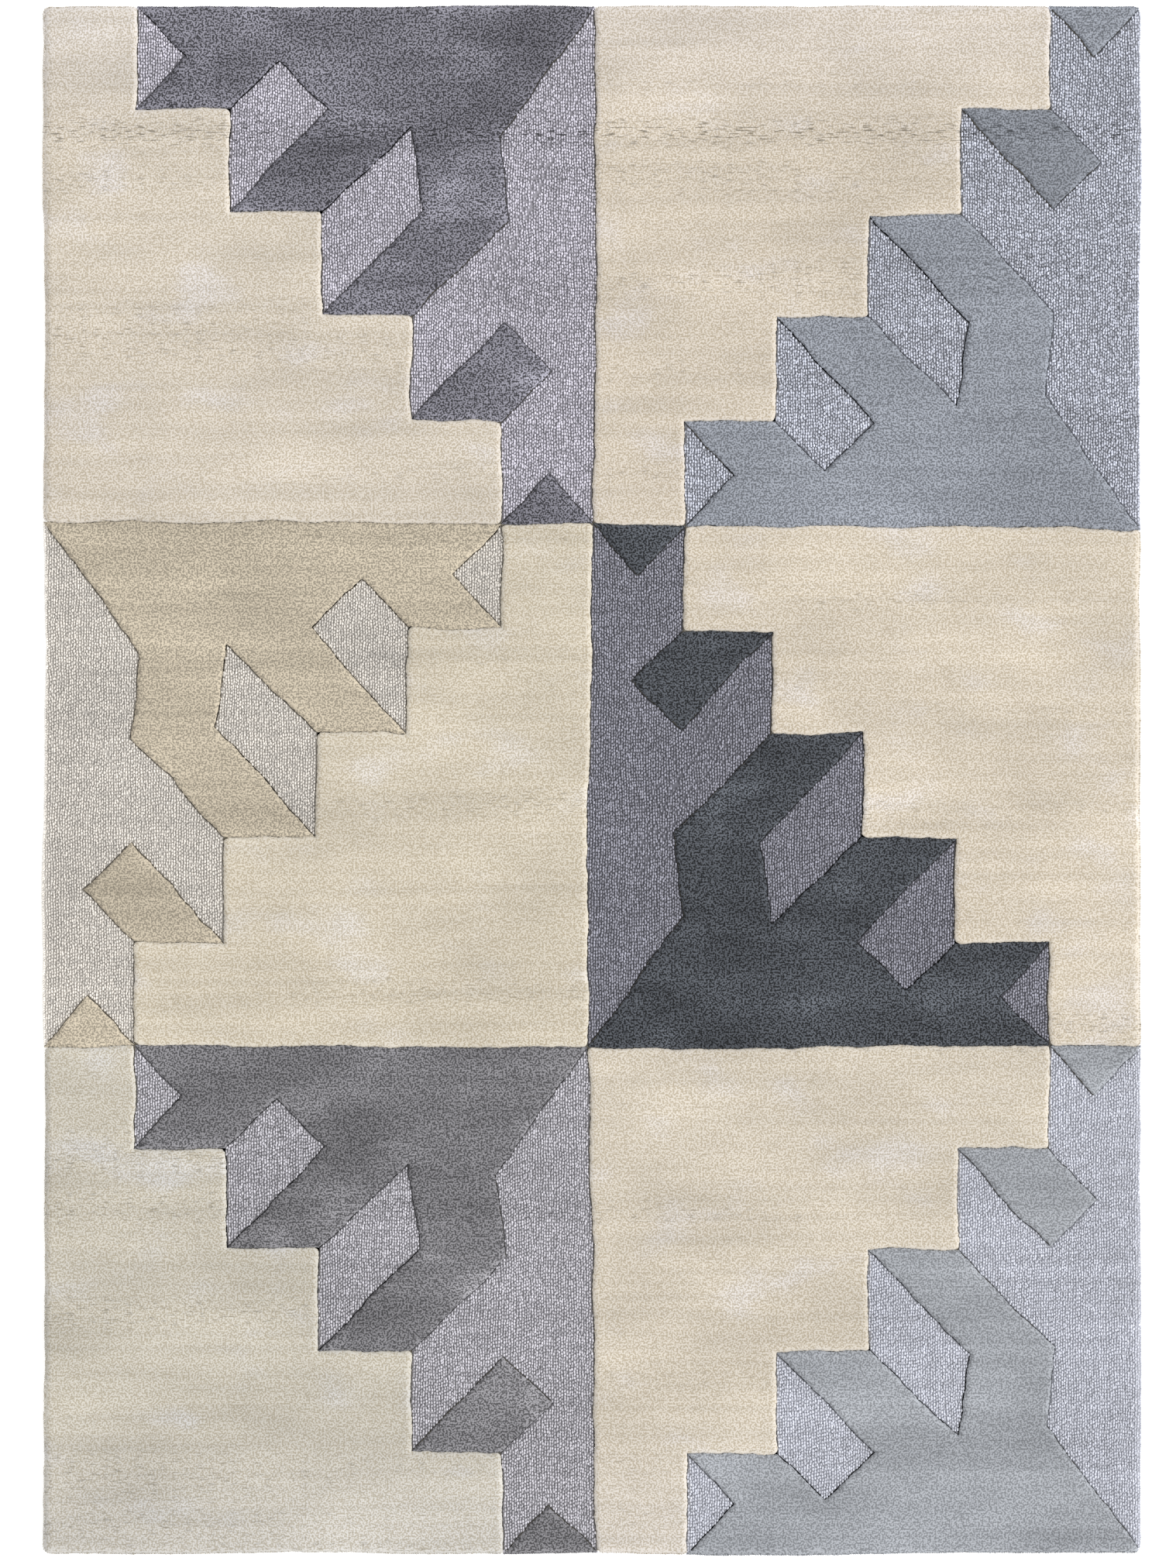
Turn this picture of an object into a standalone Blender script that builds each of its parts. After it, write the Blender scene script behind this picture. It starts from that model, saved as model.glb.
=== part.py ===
"""Hand-tufted area rug with cut and loop pile areas on bonded cloth backings.

Metres, +Z up. The origin lies on the floor under the middle of the rug, the
width runs along X and the length along Y. From the floor up, the rug has a
binding tape along each edge, a secondary backing cloth between the tapes, a
latex coat, a primary backing cloth with its edges turned under, and the pile.
Each area of one yarn and one kind of pile is its own piece, carved apart from
its neighbours. Six panels repeat one stepped motif, turned and mirrored.
"""

import math

import bmesh
import bpy

# Overall size: equal panels side by side, and rows of hand-set length from the far end
PANELS_ACROSS = 2
PANEL_WIDTH = 0.850
PANEL_LENGTHS = (0.804, 0.809, 0.787)
CORNER_RADIUS = 0.012
CORNER_SEGMENTS = 4

# Layers, from the floor up
TAPE_THICKNESS = 0.0007
SECONDARY_THICKNESS = 0.0012
LATEX_THICKNESS = 0.0015
PRIMARY_THICKNESS = 0.0008
CUT_PILE_HEIGHT = 0.0116
LOOP_PILE_HEIGHT = 0.0088

# Edge finish
TAPE_WIDTH = 0.040
TAPE_SETBACK = 0.002
HEM_WIDTH = 0.030
PILE_OVERHANG = 0.004
FOLD_SEGMENTS = 8
FOLD_SUPPORT = 0.004

# Carving between the pile areas
CUT_RIM_ROUND = 0.0035
LOOP_RIM_ROUND = 0.0022
RIM_SEGMENTS = 2

# Between pieces that rest on or lie against each other
SEAT_GAP = 0.0003
WELD_DISTANCE = 0.00001

# The motif's grid of cells
CELLS_ACROSS = 6
CELLS_ALONG = 5

# Points of the motif off the grid, in cells from its outer upper corner, y downwards
FIRST_CUSP = (1.53, 0.48)
SECOND_CUSP, SECOND_SHOULDER = (2.54, 0.53), (3.07, 1.00)
THIRD_CUSP, THIRD_SHOULDER = (3.98, 1.16), (4.12, 1.97)
FOURTH_CUSP, FOURTH_SHOULDER = (4.95, 1.26), (5.05, 2.06)
LOZENGE_CROWN, LOZENGE_SIDE = (5.01, 3.05), (5.54, 3.51)
TIP_APEX = (5.50, 4.52)

# Yarns and cloths: linear colour and roughness
FINISHES = {
    "cream_cut_yarn": ((0.66, 0.60, 0.50), 0.95),
    "grey_cut_yarn": ((0.18, 0.18, 0.20), 0.95),
    "grey_loop_yarn": ((0.39, 0.37, 0.43), 0.90),
    "blue_grey_cut_yarn": ((0.32, 0.34, 0.38), 0.95),
    "blue_grey_loop_yarn": ((0.43, 0.45, 0.51), 0.90),
    "sand_cut_yarn": ((0.54, 0.48, 0.37), 0.95),
    "sand_loop_yarn": ((0.56, 0.53, 0.47), 0.90),
    "charcoal_cut_yarn": ((0.075, 0.083, 0.094), 0.95),
    "charcoal_loop_yarn": ((0.20, 0.20, 0.23), 0.90),
    "primary_cloth": ((0.55, 0.52, 0.45), 0.90),
    "latex": ((0.62, 0.58, 0.50), 0.60),
    "secondary_cloth": ((0.58, 0.52, 0.42), 0.92),
    "tape_cotton": ((0.64, 0.60, 0.52), 0.85),
}

# Each panel: name, column, row from the far end, mirrored in x, mirrored in y, yarn colour
PANELS = (
    ("far_left", 0, 0, False, False, "grey"),
    ("far_right", 1, 0, False, True, "blue_grey"),
    ("middle_left", 0, 1, True, False, "sand"),
    ("middle_right", 1, 1, True, True, "charcoal"),
    ("near_left", 0, 2, False, False, "grey"),
    ("near_right", 1, 2, False, True, "blue_grey"),
)

RUG_WIDTH = PANELS_ACROSS * PANEL_WIDTH
RUG_LENGTH = sum(PANEL_LENGTHS)

# Heights at which the layers start and end
HEM_BOTTOM = TAPE_THICKNESS + SEAT_GAP
HEM_TOP = HEM_BOTTOM + PRIMARY_THICKNESS
LATEX_BOTTOM = SECONDARY_THICKNESS + SEAT_GAP
LATEX_RIM_BOTTOM = max(HEM_TOP, SECONDARY_THICKNESS) + SEAT_GAP
LATEX_TOP = LATEX_BOTTOM + LATEX_THICKNESS
PRIMARY_BOTTOM = LATEX_TOP + SEAT_GAP
PRIMARY_TOP = PRIMARY_BOTTOM + PRIMARY_THICKNESS
PILE_BASE = PRIMARY_TOP + SEAT_GAP

# The fold at the edge of the primary cloth, on the middle of its thickness
FOLD_RADIUS = (PRIMARY_BOTTOM - HEM_BOTTOM) / 2
FOLD_REACH = FOLD_RADIUS + PRIMARY_THICKNESS / 2
FOLD_INSET = PILE_OVERHANG + FOLD_REACH
HEM_INSET = FOLD_INSET + HEM_WIDTH
TAPE_INSET = PILE_OVERHANG + TAPE_SETBACK
TAPE_INNER_INSET = TAPE_INSET + TAPE_WIDTH
SECONDARY_INSET = max(TAPE_INNER_INSET, HEM_INSET) + SEAT_GAP


def clear_scene():
    for old in list(bpy.data.objects):
        bpy.data.objects.remove(old, do_unlink=True)


def new_collection(name):
    collection = bpy.data.collections.new(name)
    bpy.context.scene.collection.children.link(collection)
    return collection


def finish(name):
    """The material of one yarn or cloth."""
    if name in bpy.data.materials:
        return bpy.data.materials[name]
    colour, roughness = FINISHES[name]
    material = bpy.data.materials.new(name)
    material.use_nodes = True
    shader = material.node_tree.nodes["Principled BSDF"]
    shader.inputs["Base Color"].default_value = (*colour, 1.0)
    shader.inputs["Roughness"].default_value = roughness
    shader.inputs["Metallic"].default_value = 0.0
    return material


def add_piece(name, mesh, slot, parent=None, location=(0.0, 0.0, 0.0)):
    piece = bpy.data.objects.new(name, mesh)
    mesh.materials.clear()
    mesh.materials.append(finish(slot))
    piece.parent = parent
    piece.location = location
    rug.objects.link(piece)
    return piece


# Outlines


def on_rug_corner(point, centre):
    return math.isclose(abs(point[0] + centre[0]), RUG_WIDTH / 2) and math.isclose(
        abs(point[1] + centre[1]), RUG_LENGTH / 2
    )


def turn_at(corner, neighbour):
    """Where a side meets a corner's round: 0 on the rug's end, 1 on its side, a half between."""
    if abs(neighbour[1] - corner[1]) < WELD_DISTANCE:
        return 0.0
    if abs(neighbour[0] - corner[0]) < WELD_DISTANCE:
        return 1.0
    return 0.5


def rounded_corner(before, corner, after, centre):
    """The stretch of the rug's rounded corner that an outline has in place of the corner."""
    inward = [-math.copysign(CORNER_RADIUS, corner[axis] + centre[axis]) for axis in (0, 1)]
    start, end = turn_at(corner, before), turn_at(corner, after)
    steps = round(CORNER_SEGMENTS * abs(end - start))
    points = []
    for step in range(steps + 1):
        turn = math.pi / 2 * (start + (end - start) * step / steps)
        points.append(
            (
                corner[0] + inward[0] * (1.0 - math.sin(turn)),
                corner[1] + inward[1] * (1.0 - math.cos(turn)),
            )
        )
    return points


def inset_outline(points, distance):
    """The outline moved inwards on every side, with mitred corners."""
    area = sum(
        x * next_y - next_x * y
        for (x, y), (next_x, next_y) in zip(points, points[1:] + points[:1])
    )
    side = math.copysign(1.0, area)
    moved = []
    for i, (x, y) in enumerate(points):
        normals = []
        for (x_from, y_from), (x_to, y_to) in (
            (points[i - 1], (x, y)),
            ((x, y), points[(i + 1) % len(points)]),
        ):
            length = math.hypot(x_to - x_from, y_to - y_from)
            normals.append(
                (-(y_to - y_from) / length * side, (x_to - x_from) / length * side)
            )
        (ax, ay), (bx, by) = normals
        mitre = distance / (1.0 + ax * bx + ay * by)
        moved.append((x + (ax + bx) * mitre, y + (ay + by) * mitre))
    return moved


def motif_areas():
    """Outlines of the motif's areas, in cells: area name to (kind of pile, points)."""
    ground = [(0, 0)]
    for step in range(1, CELLS_ALONG + 1):
        ground += [(step, step - 1), (step, step)]
    ground.append((0, CELLS_ALONG))
    sweep = [
        (1, 0),
        (6, 0),
        FOURTH_CUSP,
        FOURTH_SHOULDER,
        (4, 3),
        (3, 3),
        THIRD_SHOULDER,
        THIRD_CUSP,
        (3, 2),
        (2, 2),
        SECOND_SHOULDER,
        SECOND_CUSP,
        (2, 1),
        (1, 1),
        FIRST_CUSP,
    ]
    column = [
        (6, 0),
        (6, 5),
        TIP_APEX,
        (5, 5),
        (5, 4),
        LOZENGE_SIDE,
        LOZENGE_CROWN,
        (4, 4),
        (4, 3),
        FOURTH_SHOULDER,
        FOURTH_CUSP,
    ]
    return {
        "ground": ("ground", ground),
        "cut_sweep": ("cut", sweep),
        "cut_lozenge": ("cut", [(4, 4), (5, 4), LOZENGE_SIDE, LOZENGE_CROWN]),
        "cut_tip": ("cut", [(5, 5), TIP_APEX, (6, 5)]),
        "loop_column": ("loop", column),
        "loop_wedge_large": ("loop", [(3, 2), THIRD_CUSP, THIRD_SHOULDER, (3, 3)]),
        "loop_wedge_middle": ("loop", [(2, 1), SECOND_CUSP, SECOND_SHOULDER, (2, 2)]),
        "loop_wedge_small": ("loop", [(1, 0), FIRST_CUSP, (1, 1)]),
    }


def panel_outline(points, mirror_x, mirror_y, centre, length):
    """A motif outline placed in its panel, in metres from the panel's middle."""
    placed = []
    for across, down in points:
        if mirror_x:
            across = CELLS_ACROSS - across
        if mirror_y:
            down = CELLS_ALONG - down
        placed.append(
            (
                (across / CELLS_ACROSS - 0.5) * PANEL_WIDTH,
                (0.5 - down / CELLS_ALONG) * length,
            )
        )
    outline = []
    for i, point in enumerate(placed):
        if on_rug_corner(point, centre):
            after = placed[(i + 1) % len(placed)]
            outline += rounded_corner(placed[i - 1], point, after, centre)
        else:
            outline.append(point)
    return inset_outline(outline, SEAT_GAP / 2)


# Pile


def slab_from_outline(name, outline, height):
    """A closed slab on a flat outline, centred on its own middle height.

    The curve makes only the wall. A curve's own fill spills over the inner
    corners of a stepped outline, so each cap is one face on the wall's rim.
    """
    curve = bpy.data.curves.new(name, "CURVE")
    curve.dimensions = "2D"
    curve.fill_mode = "NONE"
    curve.extrude = height / 2
    spline = curve.splines.new("POLY")
    spline.points.add(len(outline) - 1)
    for point, (x, y) in zip(spline.points, outline):
        point.co = (x, y, 0.0, 1.0)
    spline.use_cyclic_u = True
    guide = bpy.data.objects.new(name + "_outline", curve)
    rug.objects.link(guide)
    bpy.context.view_layer.update()
    evaluated = guide.evaluated_get(bpy.context.evaluated_depsgraph_get())
    mesh = bpy.data.meshes.new_from_object(evaluated)
    bpy.data.objects.remove(guide, do_unlink=True)
    bpy.data.curves.remove(curve)
    mesh.name = name
    shape = bmesh.new()
    shape.from_mesh(mesh)
    bmesh.ops.remove_doubles(shape, verts=shape.verts, dist=WELD_DISTANCE)
    open_rims = [edge for edge in shape.edges if edge.is_boundary]
    bmesh.ops.holes_fill(shape, edges=open_rims, sides=0)
    bmesh.ops.recalc_face_normals(shape, faces=shape.faces)
    if shape.calc_volume(signed=True) < 0.0:
        bmesh.ops.reverse_faces(shape, faces=shape.faces)
    shape.to_mesh(mesh)
    shape.free()
    return mesh


def carve_rim(mesh, height, width):
    """Rounds the upper rim of a slab, where the pile is carved away."""
    shape = bmesh.new()
    shape.from_mesh(mesh)
    level = height / 2 - WELD_DISTANCE
    rim = [
        edge
        for edge in shape.edges
        if all(vert.co.z > level for vert in edge.verts)
        and any(abs(face.normal.z) < 0.5 for face in edge.link_faces)
    ]
    bmesh.ops.bevel(
        shape,
        geom=rim,
        offset=width,
        offset_type="OFFSET",
        segments=RIM_SEGMENTS,
        profile=0.5,
        affect="EDGES",
        clamp_overlap=True,
    )
    shape.to_mesh(mesh)
    shape.free()


def add_panel(name, column, row, mirror_x, mirror_y, colour):
    """One panel of the pattern: an empty in its middle, with its pile areas on it."""
    length = PANEL_LENGTHS[row]
    centre = (
        (column + 0.5) * PANEL_WIDTH - RUG_WIDTH / 2,
        RUG_LENGTH / 2 - sum(PANEL_LENGTHS[:row]) - length / 2,
    )
    panel = bpy.data.objects.new(name + "_panel", None)
    panel.location = (*centre, PILE_BASE)
    rug.objects.link(panel)
    for area, (kind, points) in motif_areas().items():
        is_loop = kind == "loop"
        height = LOOP_PILE_HEIGHT if is_loop else CUT_PILE_HEIGHT
        yarn = "cream_cut_yarn" if kind == "ground" else f"{colour}_{kind}_yarn"
        outline = panel_outline(points, mirror_x, mirror_y, centre, length)
        mesh = slab_from_outline(f"{name}_{area}", outline, height)
        carve_rim(mesh, height, LOOP_RIM_ROUND if is_loop else CUT_RIM_ROUND)
        add_piece(f"{name}_{area}", mesh, yarn, panel, (0.0, 0.0, height / 2))


# Backings and edge finish


def add_primary_backing():
    """The cloth that the yarn is tufted into, with its four edges folded under."""
    half_width = RUG_WIDTH / 2 - FOLD_INSET
    half_length = RUG_LENGTH / 2 - FOLD_INSET
    flat_height = PRIMARY_BOTTOM + PRIMARY_THICKNESS / 2
    axis_height = flat_height - FOLD_RADIUS
    stations = [(0.0, flat_height)]
    for step in range(1, FOLD_SEGMENTS + 1):
        turn = math.pi * step / FOLD_SEGMENTS
        reach = FOLD_RADIUS * math.sin(turn)
        stations.append((reach, axis_height + FOLD_RADIUS * math.cos(turn)))
    stations.append((-FOLD_SUPPORT, axis_height - FOLD_RADIUS))
    stations.append((-HEM_WIDTH, axis_height - FOLD_RADIUS))
    shape = bmesh.new()
    bmesh.ops.create_grid(shape, x_segments=1, y_segments=1, size=1.0)
    for vert in shape.verts:
        vert.co.x *= half_width - FOLD_SUPPORT
        vert.co.y *= half_length - FOLD_SUPPORT
        vert.co.z = flat_height
    ring = list(shape.edges)
    for reach, height in stations:
        grown = bmesh.ops.extrude_edge_only(shape, edges=ring)["geom"]
        for vert in grown:
            if isinstance(vert, bmesh.types.BMVert):
                vert.co.x = math.copysign(half_width + reach, vert.co.x)
                vert.co.y = math.copysign(half_length + reach, vert.co.y)
                vert.co.z = height
        ring = [edge for edge in shape.edges if edge.is_boundary]
    bmesh.ops.recalc_face_normals(shape, faces=shape.faces)
    mesh = bpy.data.meshes.new("primary_backing")
    shape.to_mesh(mesh)
    shape.free()
    mesh.shade_smooth()
    mesh.set_sharp_from_angle(angle=math.radians(40))
    piece = add_piece("primary_backing", mesh, "primary_cloth")
    cloth = piece.modifiers.new("cloth_thickness", "SOLIDIFY")
    cloth.thickness = PRIMARY_THICKNESS
    cloth.offset = 0.0
    cloth.use_even_offset = True


def add_block(name, slot, size, centre):
    """A flat block, from its three sizes and its middle."""
    bpy.ops.mesh.primitive_cube_add(size=1.0)
    cube = bpy.context.active_object
    mesh = cube.data
    bpy.data.objects.remove(cube, do_unlink=True)
    mesh.name = name
    for vert in mesh.vertices:
        vert.co = [vert.co[axis] * size[axis] for axis in range(3)]
    return add_piece(name, mesh, slot, location=centre)


def add_latex_coat():
    """The rubber that locks the tufts, thinner where the hem is turned under."""
    width = RUG_WIDTH - 2 * FOLD_INSET
    length = RUG_LENGTH - 2 * FOLD_INSET
    coat = add_block(
        "latex_coat",
        "latex",
        (width, length, LATEX_TOP - LATEX_RIM_BOTTOM),
        (0.0, 0.0, (LATEX_TOP + LATEX_RIM_BOTTOM) / 2),
    )
    shape = bmesh.new()
    shape.from_mesh(coat.data)
    shape.faces.ensure_lookup_table()
    under = min(shape.faces, key=lambda face: face.calc_center_median().z)
    bmesh.ops.inset_region(
        shape, faces=[under], thickness=HEM_WIDTH + SEAT_GAP, use_even_offset=True
    )
    pushed = bmesh.ops.extrude_discrete_faces(shape, faces=[under])["faces"]
    for vert in pushed[0].verts:
        vert.co.z -= LATEX_RIM_BOTTOM - LATEX_BOTTOM
    shape.to_mesh(coat.data)
    shape.free()


def add_secondary_backing():
    """The cloth glued under the latex, which is what the rug lies on."""
    add_block(
        "secondary_backing",
        "secondary_cloth",
        (
            RUG_WIDTH - 2 * SECONDARY_INSET,
            RUG_LENGTH - 2 * SECONDARY_INSET,
            SECONDARY_THICKNESS,
        ),
        (0.0, 0.0, SECONDARY_THICKNESS / 2),
    )


def add_binding_tapes():
    """The tapes that cover the turned hem: two along the sides, two across the ends."""
    side_x = RUG_WIDTH / 2 - TAPE_INSET - TAPE_WIDTH / 2
    end_y = RUG_LENGTH / 2 - TAPE_INSET - TAPE_WIDTH / 2
    side_size = (TAPE_WIDTH, RUG_LENGTH - 2 * TAPE_INSET, TAPE_THICKNESS)
    end_size = (
        RUG_WIDTH - 2 * (TAPE_INNER_INSET + SEAT_GAP),
        TAPE_WIDTH,
        TAPE_THICKNESS,
    )
    height = TAPE_THICKNESS / 2
    add_block("binding_tape_left", "tape_cotton", side_size, (-side_x, 0.0, height))
    add_block("binding_tape_right", "tape_cotton", side_size, (side_x, 0.0, height))
    add_block("binding_tape_near", "tape_cotton", end_size, (0.0, -end_y, height))
    add_block("binding_tape_far", "tape_cotton", end_size, (0.0, end_y, height))


clear_scene()
rug = new_collection("area_rug")
add_secondary_backing()
add_binding_tapes()
add_latex_coat()
add_primary_backing()
for panel_facts in PANELS:
    add_panel(*panel_facts)
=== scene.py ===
"""The looks of a hand-tufted rug of cut and loop pile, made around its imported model.

Everything is in metres, +Z up. The rug lies on the floor with its middle on the
origin, its width along X and its length along Y.
"""

import math
from collections import namedtuple

import bmesh
import bpy
import numpy as np
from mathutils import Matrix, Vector, geometry, kdtree, noise


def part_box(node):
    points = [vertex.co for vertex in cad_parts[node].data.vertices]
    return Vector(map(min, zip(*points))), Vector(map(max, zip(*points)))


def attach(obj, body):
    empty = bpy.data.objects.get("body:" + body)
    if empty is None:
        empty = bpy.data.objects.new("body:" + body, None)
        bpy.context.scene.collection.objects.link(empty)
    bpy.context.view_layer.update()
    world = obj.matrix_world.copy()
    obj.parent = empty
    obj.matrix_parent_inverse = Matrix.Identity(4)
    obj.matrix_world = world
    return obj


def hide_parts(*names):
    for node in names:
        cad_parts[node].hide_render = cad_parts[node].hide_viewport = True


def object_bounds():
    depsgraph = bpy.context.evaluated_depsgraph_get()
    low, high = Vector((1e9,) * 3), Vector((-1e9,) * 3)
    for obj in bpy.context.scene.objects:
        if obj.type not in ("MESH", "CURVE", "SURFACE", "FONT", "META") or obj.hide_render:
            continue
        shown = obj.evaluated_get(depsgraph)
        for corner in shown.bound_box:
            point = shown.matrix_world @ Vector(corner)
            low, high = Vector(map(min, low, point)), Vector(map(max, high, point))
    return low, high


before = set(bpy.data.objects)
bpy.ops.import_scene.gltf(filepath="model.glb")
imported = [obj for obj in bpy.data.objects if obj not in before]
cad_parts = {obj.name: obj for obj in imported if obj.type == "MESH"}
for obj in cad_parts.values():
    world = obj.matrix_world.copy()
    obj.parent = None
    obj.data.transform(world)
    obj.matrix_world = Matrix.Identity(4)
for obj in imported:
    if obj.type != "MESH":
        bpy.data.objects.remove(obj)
cad_low, cad_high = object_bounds()
rug_half_width, rug_half_length, rug_height = cad_high


# ---------------------------------------------------------------------------
# The studio: a white floor, one soft key light from the right and an even white
# surround. The camera hangs straight over the rug on a long lens.

PICTURE_LENGTH_ON_RUG = 2.4294
PICTURE_CENTRE = (-0.0069, -0.0060)
LENS_MM = 100.0
SENSOR_MM = 36.0
KEY_ELEVATION = math.radians(40.0)
KEY_HEADING = math.radians(-8.0)
KEY_STRENGTH = 2.4
KEY_SPREAD = math.radians(14.0)
SURROUND_STRENGTH = 0.80
FLOOR_RADIUS = 60.0
FLOOR_SIDES = 96
FLOOR_COLOUR = (0.9, 0.9, 0.9, 1.0)
FLOOR_ROUGHNESS = 0.9
FLOOR_GLOW = 0.40
WHITE = (1.0, 1.0, 1.0, 1.0)

camera_data = bpy.data.cameras.new("overhead_camera")
camera_data.lens = LENS_MM
camera_data.sensor_width = SENSOR_MM
camera_height = PICTURE_LENGTH_ON_RUG * LENS_MM / SENSOR_MM + rug_height
camera = bpy.data.objects.new("overhead_camera", camera_data)
camera.location = (*PICTURE_CENTRE, camera_height)
bpy.context.scene.collection.objects.link(camera)
bpy.context.scene.camera = camera

key_data = bpy.data.lights.new("key_light", "SUN")
key_data.energy = KEY_STRENGTH
key_data.angle = KEY_SPREAD
key = bpy.data.objects.new("key_light", key_data)
key_from = Vector((math.cos(KEY_HEADING), math.sin(KEY_HEADING), math.tan(KEY_ELEVATION)))
key.rotation_euler = key_from.to_track_quat("Z", "Y").to_euler()
bpy.context.scene.collection.objects.link(key)

surround = bpy.data.worlds.new("surround")
surround.use_nodes = True
surround_light = surround.node_tree.nodes["Background"]
surround_light.inputs["Color"].default_value = WHITE
surround_light.inputs["Strength"].default_value = SURROUND_STRENGTH
bpy.context.scene.world = surround
bpy.context.scene.view_settings.view_transform = "Standard"

bpy.ops.mesh.primitive_circle_add(vertices=FLOOR_SIDES, radius=FLOOR_RADIUS, fill_type="NGON")
floor = bpy.context.active_object
floor.name = "studio_floor"
floor_paint = bpy.data.materials.new("floor_paint")
floor_paint.use_nodes = True
floor_shader = floor_paint.node_tree.nodes["Principled BSDF"]
floor_shader.inputs["Base Color"].default_value = FLOOR_COLOUR
floor_shader.inputs["Roughness"].default_value = FLOOR_ROUGHNESS
floor_shader.inputs["Emission Color"].default_value = WHITE
floor_shader.inputs["Emission Strength"].default_value = FLOOR_GLOW
floor.data.materials.append(floor_paint)


# ---------------------------------------------------------------------------
# Yarn: dyed wool, dull and soft, with a faint bloom at grazing angles. Each tuft
# takes the dye a little differently. Shearing and brushing leave the pile lying
# in soft clouds and faint rows across the rug, whose shade and sheen are painted
# into the colour.

YARN_ROUGHNESS = 0.92
YARN_SHEEN = 0.2
YARN_SHEEN_ROUGHNESS = 0.45
YARN_GLOSS = 0.2
FIBRE_SCALE = (370.0, 370.0, 370.0)
FIBRE_RELIEF = 0.0006
FIBRE_BUMP = 0.7
# The pile's lie, in clouds and streaks, is painted into the colour as shade and sheen.
CLOUD_SCALE = (3.4, 7.5, 0.0)
CLOUD_DETAIL = 2.5
CLOUD_ROUGHNESS = 0.55
STREAK_SCALE = (1.2, 44.0, 0.0)
STREAK_DETAIL = 2.0
STREAK_ROUGHNESS = 0.6
# Painted shade in the partings between rows of stitches: where it falls, and how dark it is.
GAP_BAND_SCALE = (0.7, 10.0, 0.0)
GAP_BAND_REACH = (0.0, 0.2)
GAP_BAND_SHARE = (0.1, 0.6)
GAP_SCALE = (55.0, 400.0, 0.0)
GAP_REACH = (-0.18, -0.07)
PAINTED_GAP_SHADE = 0.35
THIN_ROWS_AT = 1.003
THIN_ROWS_REACH = 0.042
THIN_ROWS_PART = 0.02
END_ZONE = (0.95, 1.22)
# Where the painted sheen of pile brushed against its lie shows:
BRUSHED_SCALE = (7.0, 11.0, 0.0)
BRUSHED_REACH = (0.03, 0.22)


class Wire:
    """A node's output. Arithmetic on it adds Math nodes to its tree."""

    def __init__(self, tree, socket):
        self.tree = tree
        self.socket = socket

    def out(self, name):
        return Wire(self.tree, self.socket.node.outputs[name])

    def __add__(self, other):
        return self.tree.math("ADD", self, other)

    def __radd__(self, other):
        return self.tree.math("ADD", other, self)

    def __sub__(self, other):
        return self.tree.math("SUBTRACT", self, other)

    def __rsub__(self, other):
        return self.tree.math("SUBTRACT", other, self)

    def __mul__(self, other):
        return self.tree.math("MULTIPLY", self, other)

    def __rmul__(self, other):
        return self.tree.math("MULTIPLY", other, self)

    def __gt__(self, other):
        return self.tree.math("GREATER_THAN", self, other)

    def __lt__(self, other):
        return self.tree.math("LESS_THAN", self, other)


class NodeTree:
    """A shader or geometry tree that is built one node at a time."""

    def __init__(self, tree):
        self.tree = tree

    def node(self, kind, settings=None, sockets=None, out=0):
        made = self.tree.nodes.new(kind)
        for name, value in (settings or {}).items():
            setattr(made, name, value)
        for name, value in (sockets or {}).items():
            if isinstance(value, Wire):
                self.tree.links.new(value.socket, made.inputs[name])
            else:
                made.inputs[name].default_value = value
        return Wire(self, made.outputs[out])

    def feed(self, wire, node, socket):
        self.tree.links.new(wire.socket, node.inputs[socket])

    def math(self, operation, *values):
        return self.node("ShaderNodeMath", {"operation": operation}, dict(enumerate(values)))

    def vector(self, operation, *values):
        return self.node(
            "ShaderNodeVectorMath", {"operation": operation}, dict(enumerate(values))
        )

    def scaled(self, vector, factor):
        return self.node(
            "ShaderNodeVectorMath", {"operation": "SCALE"}, {0: vector, "Scale": factor}
        )

    def combined(self, x, y, z):
        return self.node("ShaderNodeCombineXYZ", {}, {0: x, 1: y, 2: z})

    def eased(self, value, low, high, at_low, at_high):
        """A value carried smoothly from one range to another, and held at its ends."""
        return self.node(
            "ShaderNodeMapRange",
            {"interpolation_type": "SMOOTHSTEP"},
            {0: value, 1: low, 2: high, 3: at_low, 4: at_high},
        )

    def grain(self, place, scale, detail=2.0, roughness=0.5):
        """Noise around zero, with so many features to the metre in each direction."""
        stretched = self.vector("MULTIPLY", place, scale)
        noise_value = self.node(
            "ShaderNodeTexNoise",
            {},
            {"Vector": stretched, "Scale": 1.0, "Detail": detail, "Roughness": roughness},
        )
        return noise_value - 0.5

    def mixed(self, share, first, second):
        return self.node(
            "ShaderNodeMix", {"data_type": "RGBA"}, {0: share, 6: first, 7: second}, out=2
        )


def new_finish(name, **constants):
    """A material with its Principled constants set, its tree and its shader node."""
    material = bpy.data.materials.new(name)
    material.use_nodes = True
    shader = material.node_tree.nodes["Principled BSDF"]
    for socket, value in constants.items():
        shader.inputs[socket.replace("_", " ")].default_value = value
    return material, NodeTree(material.node_tree), shader


def dye(red, green, blue):
    """The linear colour of a shade on a yarn card, whose parts run from 0 to 255."""
    return tuple(
        value / 12.92 if value < 0.0405 else ((value + 0.055) / 1.055) ** 2.4
        for value in (red / 255, green / 255, blue / 255)
    )


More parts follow.
